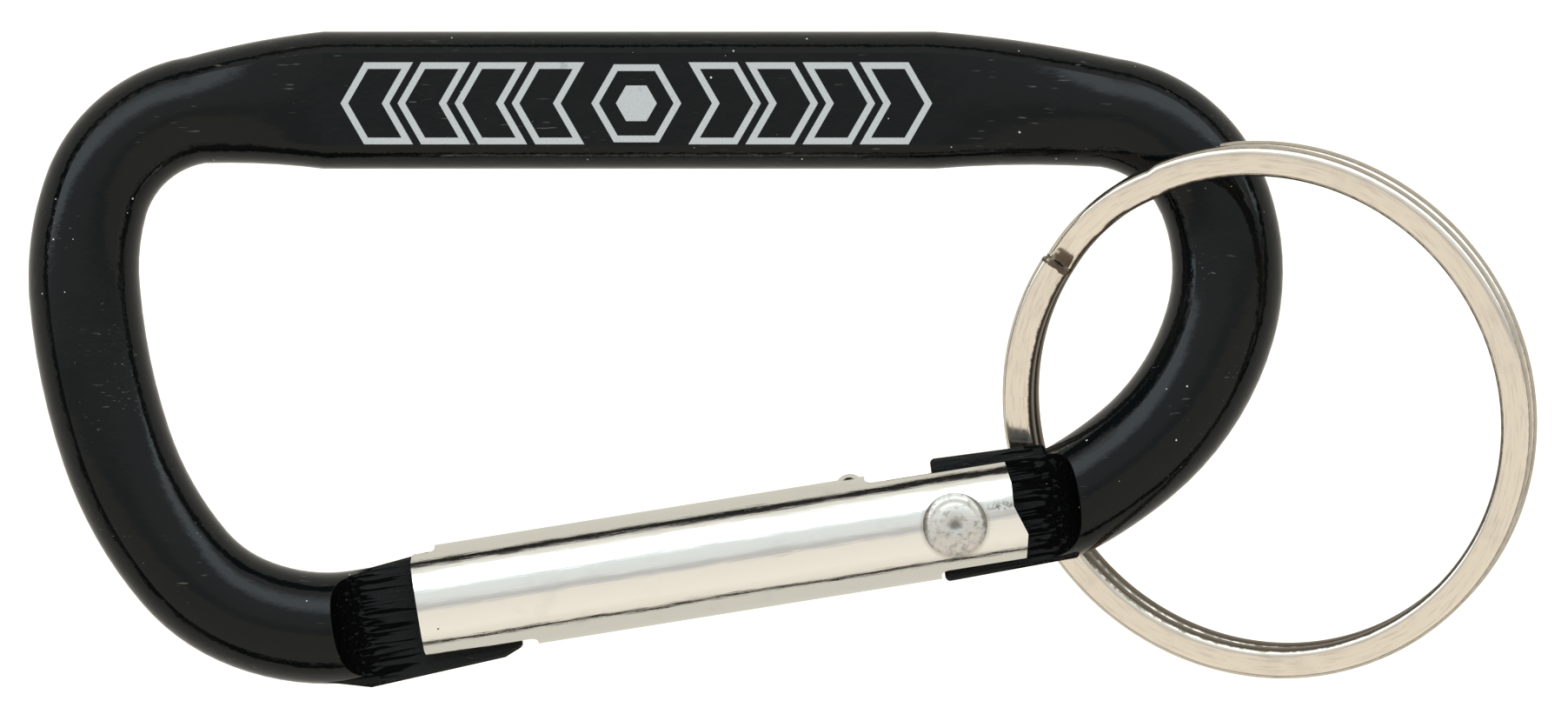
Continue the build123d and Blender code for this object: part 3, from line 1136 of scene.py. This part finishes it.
@dataclass(frozen=True)
class ReturnSpring:
    """The gate's return spring with closed, flat-wound ends. Sizes in millimetres."""

    wire: float = 0.5
    width: float = 4.7
    start: float = -16.35
    end: float = -6.58
    offset: float = 0.32
    dead_turns: float = 1.0
    dead_pitch: float = 1.02  # rise of a closed turn, as a share of the wire
    live_turns: float = 7.0
    steps_per_turn: int = 32
    wire_sides: int = 14
    keep: float = 0.907  # length left when the plunger is pushed in, as a share
    finish: SpringSteel = SpringSteel()

    def coil(self) -> Object:
        """Winds the spring about Z, from its first closed turn upwards.

        Returns:
            The spring, about the origin.
        """
        alone()
        bpy.ops.mesh.primitive_circle_add(
            vertices=self.wire_sides,
            radius=self.wire / 2 * MM,
            location=((self.width - self.wire) / 2 * MM, 0, 0),
            rotation=(math.pi / 2, 0, 0),
        )
        obj = named("coil_spring")
        edit(obj, every=True)
        dead = self.wire * self.dead_pitch * self.dead_turns
        live = self.end - self.start - self.wire - 2 * dead
        stretches = ((self.dead_turns, dead), (self.live_turns, live), (self.dead_turns, dead))
        for turns, rise in stretches:
            wind(turns * 360, rise * MM, round(turns * self.steps_per_turn))
        cap_ends()
        done()
        tidy(obj)
        return obj

    def dress(self, places: Places) -> None:
        """Places the spring inside the gate.

        Args:
            places: where things are.
        """
        obj = self.coil()
        base = places.rivet + places.along * (self.start + self.wire / 2) * MM
        base += places.across * self.offset * MM
        turned = Matrix((places.across, Vector((0, 0, 1)), places.along)).transposed().to_4x4()
        turn_onto(obj, Matrix.Translation(base) @ turned)
        dress(obj, self.finish.build(), "gate")
        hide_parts("return_spring")
        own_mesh(obj)


@dataclass(frozen=True)
class SplitRing:
    """The split ring: two turns of rolled wire with one crossover.

    Sizes are in millimetres. Angles are directions seen in plan from the ring's centre, in degrees.
    """

    outside: float = 34.65
    band: float = 1.95
    layer: float = 1.17
    gap: float = 0.06
    rounding: float = 0.45
    front_end: float = 144.0
    end_gap: float = 0.9  # slit beside the front layer's free end, in degrees
    dip_start: float = 124.0
    dip: float = 0.5  # how far the wire sinks before it crosses over
    cross_start: float = 133.4
    rear_end: float = 101.0
    neck_end: float = 115.0
    neck: float = 0.9  # width of the drawn-in neck, as a share of the band
    corner_steps: int = 5
    steps_per_turn: int = 300
    cross_steps: int = 12
    crease: float = 30.0
    finish: NickelPlate = NickelPlate()

    @property
    def middle(self) -> float:
        """Radius of the wire's centre line."""
        return (self.outside - self.band) / 2

    def own_angle(self, plan: float, frame: Matrix) -> float:
        """Angle about the ring's axis of a direction seen in plan.

        Args:
            plan: angle in plan, in degrees.
            frame: the ring's frame.

        Returns:
            The angle in degrees.
        """
        normal = frame.to_3x3() @ Vector((0, 0, 1))
        direction = Vector((math.cos(math.radians(plan)), math.sin(math.radians(plan)), 0))
        direction.z = -direction.dot(normal) / normal.z
        local = frame.to_3x3().transposed() @ direction
        return math.degrees(math.atan2(local.y, local.x)) % 360

    def section(self, start: float) -> Object:
        """Models the wire's section as an open outline at the front layer's free end.

        Args:
            start: angle about the ring's axis.

        Returns:
            The outline, rounded on its outer corners.
        """
        alone()
        bpy.ops.mesh.primitive_plane_add(size=1)
        obj = named("split_ring_coil")
        edit(obj, every=True)
        bpy.ops.transform.resize(value=(self.band * MM, self.layer * MM, 1))
        bpy.ops.mesh.bevel(
            offset=self.rounding * MM,
            segments=self.corner_steps,
            affect="VERTICES",
            offset_type="OFFSET",
        )
        bpy.ops.mesh.delete(type="ONLY_FACE")
        done()
        turn_onto(
            obj,
            Matrix.Rotation(math.radians(start), 4, "Z")
            @ Matrix.Translation((self.middle * MM, 0, (self.layer + self.gap) / 2 * MM))
            @ Matrix.Rotation(math.pi / 2, 4, "X"),
        )
        return obj

    def coil(self, frame: Matrix, start: float) -> Object:
        """Winds the ring about Z and draws in its neck.

        Args:
            frame: the ring's frame.
            start: angle of the front layer's free end about the ring's axis.

        Returns:
            The ring, about the origin.
        """
        low = self.own_angle(self.dip_start, frame)
        cross = self.own_angle(self.cross_start, frame)
        last = self.own_angle(self.rear_end, frame)
        obj = self.section(start)
        edit(obj, every=True)
        first = 360 + low - start
        wind(first, 0, round(first * self.steps_per_turn / 360))
        wind(cross - low, -self.dip * MM, self.cross_steps)
        rest = self.layer + self.gap - self.dip
        wind(start - self.end_gap - cross, -rest * MM, self.cross_steps)
        second = 360 + last - start + self.end_gap
        wind(second, 0, round(second * self.steps_per_turn / 360))
        cap_ends()
        done()
        tidy(obj, self.crease)
        self.draw_neck(obj, self.own_angle(self.neck_end, frame), cross)
        return obj

    def draw_neck(self, obj: Object, low: float, high: float) -> None:
        """Narrows the front layer just before the crossover, where the wire is bent.

        Args:
            obj: the ring, about the origin.
            low: angle where the neck begins.
            high: angle where it ends.
        """
        edit(obj)

        def in_neck(place: Vector) -> bool:
            """True on the front of the neck."""
            angle = math.degrees(math.atan2(place.y, place.x)) % 360
            return low < angle < high and place.z > (self.gap + self.layer) / 2 * MM

        pick_points(obj, in_neck)
        half_turn = math.radians((low + high) / 2)
        reach = self.middle * MM
        bpy.ops.transform.resize(
            value=(self.neck, 1, 1),
            center_override=(math.cos(half_turn) * reach, math.sin(half_turn) * reach, 0),
            orient_type="GLOBAL",
            orient_matrix=Matrix.Rotation(half_turn, 3, "Z").transposed(),
            orient_matrix_type="GLOBAL",
        )
        done()

    def dress(self, places: Places) -> None:
        """Makes the ring and puts it in its place.

        Args:
            places: where things are.
        """
        frame = places.ring_frame()
        start = self.own_angle(self.front_end, frame) + self.end_gap
        obj = self.coil(frame, start)
        turn_onto(obj, frame)
        metal = self.finish.build(frame, self.middle * MM, self.band / 2 * MM, start)
        dress(obj, metal, "ring")
        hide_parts("split_ring")


class Mark(Enum):
    """Which way a chevron of the printed band points."""

    CHEVRON_RIGHT = 1
    CHEVRON_LEFT = -1


@dataclass(frozen=True)
class PrintedBand:
    """A pad-printed row of plain geometric marks on the spine. Sizes in millimetres."""

    shift: tuple[float, float] = (0.5, -0.25)
    height: float = 5.2
    thick: float = 0.015
    chevrons: int = 4
    pitch: float = 3.62
    width: float = 3.1
    lean: float = 1.5
    stroke: float = 0.42
    hexagon: float = 5.7
    core: float = 2.6
    core_lip: float = 0.1
    core_rise: float = 0.1  # as a share of the ink's thickness
    clearance: float = 0.45  # between the hexagon and the first chevrons
    near_middle: float = 0.1
    crease: float = 20.0  # degrees
    finish: PadInk = PadInk()

    def chevron(self) -> Object:
        """Models one chevron that points along +X.

        Returns:
            The chevron, about the origin.
        """
        alone()
        bpy.ops.mesh.primitive_cube_add(size=1)
        obj = named("print_chevron_1")
        edit(obj, every=True)
        bpy.ops.transform.resize(value=(self.width * MM, self.height * MM, self.thick * MM))
        pick_faces(obj, lambda face: abs(face.normal.x) > FACING)
        bpy.ops.mesh.subdivide(number_cuts=1)
        pick_points(obj, lambda place: abs(place.y) < self.near_middle * MM)
        bpy.ops.transform.translate(value=(self.lean * MM, 0, 0))
        done()
        self.hollow(obj)
        return obj

    def hexagon_blank(self, name: str, width: float) -> Object:
        """Models a solid hexagon with two upright sides.

        Args:
            name: the piece's name.
            width: its width across corners.

        Returns:
            The hexagon, about the origin.
        """
        alone()
        bpy.ops.mesh.primitive_cylinder_add(
            vertices=6,
            radius=width / 2 * MM,
            depth=self.thick * MM,
            rotation=(0, 0, math.pi / 6),
        )
        return named(name)

    def hexagon_ring(self) -> Object:
        """Models the open hexagon in the middle.

        Returns:
            The hexagon, about the origin.
        """
        obj = self.hexagon_blank("print_hexagon", self.hexagon)
        self.hollow(obj)
        return obj

    def hollow(self, obj: Object) -> None:
        """Leaves only a mark's outline, one stroke wide.

        Args:
            obj: the solid mark.
        """
        edit(obj, "FACE")
        pick_faces(obj, lambda face: abs(face.normal.z) > FACING)
        bpy.ops.mesh.inset(thickness=self.stroke * MM, depth=0)
        bpy.ops.mesh.bridge_edge_loops()
        done()
        tidy(obj, self.crease)

    def hexagon_core(self) -> Object:
        """Models the solid hexagon inside the open one, with a small step all round.

        Returns:
            The hexagon, about the origin.
        """
        obj = self.hexagon_blank("print_core", self.core)
        edit(obj, "FACE")
        pick_faces(obj, lambda face: face.normal.z > FACING)
        bpy.ops.mesh.inset(thickness=self.core_lip * MM, depth=self.core_rise * self.thick * MM)
        done()
        tidy(obj, self.crease)
        return obj

    def dress(self, places: Places) -> None:
        """Prints the marks on the spine's front face.

        Args:
            places: where things are.
        """
        ink = self.finish.build()
        marks = [self.hexagon_ring(), self.hexagon_core()]
        first = self.chevron()
        start = (self.hexagon + self.width) / 2 + self.clearance
        for number in range(self.chevrons):
            for side in Mark:
                piece = twin(first, f"print_{side.name.lower()}_{number + 1}")
                place = Matrix.Translation(((start + number * self.pitch) * side.value * MM, 0, 0))
                turned = Matrix.Rotation(math.pi * (side is Mark.CHEVRON_LEFT), 4, "Z")
                turn_onto(piece, place @ turned)
                marks.append(piece)
        bpy.data.objects.remove(first)
        seat = places.mount("spine_front_face")
        seat += Vector((*self.shift, self.thick / 2)) * MM
        for piece in marks:
            turn_onto(piece, Matrix.Translation(seat))
            dress(piece, ink, "frame")


@dataclass(frozen=True)
class Studio:
    """A pale floor, and soft bands of light round the gate's line, dimmer overhead.

    Sizes are in millimetres, except where a comment says otherwise.
    """

    floor_size: float = 1600.0
    floor_drop: float = 0.2
    floor_tints: tuple[str, str] = ("#faf6ea", "#fffcf2")
    floor_light: float = 0.72  # brightness where the floor is mirrored
    floor_seen: float = 1.3  # brightness to the camera
    fibre: float = 2.0
    night: str = "#272727"  # darkness below the lowest light
    horizon: tuple[float, float] = (0.1, 0.16)  # sine of the heights where the light fades in
    # light round the gate's line: degrees from overhead, colour and brightness
    boxes: tuple[tuple[float, str, float], ...] = (
        (-90, "#fff8ea", 0.8),
        (-60, "#fffaf0", 1.0),
        (-15, "#fffaf0", 0.93),
        (-10, "#ffffff", 0.6),
        (-3, "#ffffff", 0.6),
        (4, "#f8fbfb", 0.88),
        (28, "#f0f8fa", 1.0),
        (41, "#e6f3f8", 3.4),
        (55, "#e6f3f8", 3.4),
        (69, "#fbfbf6", 1.0),
        (90, "#f6f2e6", 0.8),
    )
    visible_width: float = 99.74
    camera_height: float = 800.0
    sensor: float = 36.0
    clip: tuple[float, float] = (0.05, 10.0)  # metres
    aim: tuple[float, float] = (0.25, -0.082)

    def floor(self) -> None:
        """Lays the floor just under the object."""
        alone()
        bpy.ops.mesh.primitive_plane_add(
            size=self.floor_size * MM, location=(0, 0, -self.floor_drop * MM)
        )
        floor = named("studio_floor")
        f = Finish(bpy.data.materials.new("white_paper"))
        place = f.add("TexCoord", out="Object")
        fibre = f.add(
            "TexNoise",
            {"Vector": place, "Scale": per_mm(self.fibre), "Detail": 4, "Roughness": 0.55},
        )
        tint = f.add(
            "Mix",
            {0: fibre, 6: linear(self.floor_tints[0]), 7: linear(self.floor_tints[1])},
            **TINTS,
        )
        # it gives off its own light, brighter to the camera than where it is mirrored
        seen = f.add("LightPath", out="Is Camera Ray")
        level = f.add(
            "MapRange", {0: seen, 1: 0, 2: 1, 3: self.floor_light, 4: self.floor_seen}, **SOFT
        )
        lit = f.add("Emission", {"Color": tint, "Strength": level})
        floor.data.materials.append(f.close(lit))

    def sky(self) -> None:
        """Sets the light round the object: bands by angle about the gate's line."""
        world = bpy.data.worlds.new("softboxes")
        bpy.context.scene.world = world
        f = Finish(world)
        place = f.add("TexCoord", out="Generated")
        right, forward, up = f.add("SeparateXYZ", {0: place}).node.outputs
        ahead = f.add("Math", {0: forward, 1: math.cos(GATE_SLOPE)}, operation="MULTIPLY")
        aside = f.add("Math", {0: right, 1: -math.sin(GATE_SLOPE)}, operation="MULTIPLY")
        across = f.add("Math", {0: ahead, 1: aside}, operation="ADD")
        lean = f.add("Math", {0: across, 1: up}, operation="ARCTAN2")
        share = f.add("MapRange", {0: lean, 1: -math.pi / 2, 2: math.pi / 2})
        band = f.add("ValToRGB", {0: share})
        stops = band.node.color_ramp.elements
        for _ in self.boxes[2:]:
            stops.new(0.5)
        for stop, (angle, tint, level) in zip(stops, self.boxes):
            stop.position = (angle + 90) / 180
            stop.color = tuple(c * level for c in linear(tint)[:3]) + (1,)
        above = f.add("MapRange", {0: up, 1: self.horizon[0], 2: self.horizon[1]}, **SOFT)
        colour = f.add("Mix", {0: above, 6: linear(self.night), 7: band}, **TINTS)
        light = f.add("Background", {"Color": colour, "Strength": 1.0})
        f.close(light, "World")

    def camera(self, places: Places) -> None:
        """Looks straight down on the object through a long lens.

        Args:
            places: where things are.
        """
        data = bpy.data.cameras.new("camera")
        camera = bpy.data.objects.new("camera", data)
        bpy.context.scene.collection.objects.link(camera)
        level = places.rivet.z + self.camera_height * MM
        camera.location = (self.aim[0] * MM, self.aim[1] * MM, level)
        data.sensor_width = self.sensor
        data.lens = self.sensor * self.camera_height / self.visible_width
        data.clip_start, data.clip_end = self.clip
        bpy.context.scene.camera = camera

    def build(self, places: Places) -> None:
        """Sets up floor, light and camera.

        Args:
            places: where things are.
        """
        self.floor()
        self.sky()
        self.camera(places)
        view = bpy.context.scene.view_settings
        view.view_transform = "Standard"
        view.look = "None"


def main() -> None:
    """Builds and dresses the carabiner keyring."""
    logging.basicConfig(level=logging.INFO, format="%(name)s: %(message)s")
    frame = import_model()
    places = Places(frame)
    RodBody().dress(places)
    PrintedBand().dress(places)
    GateTube().dress(places)
    Rivet().dress(places)
    ReturnSpring().dress(places)
    SplitRing().dress(places)
    Studio().build(places)


if __name__ == "__main__":
    main()
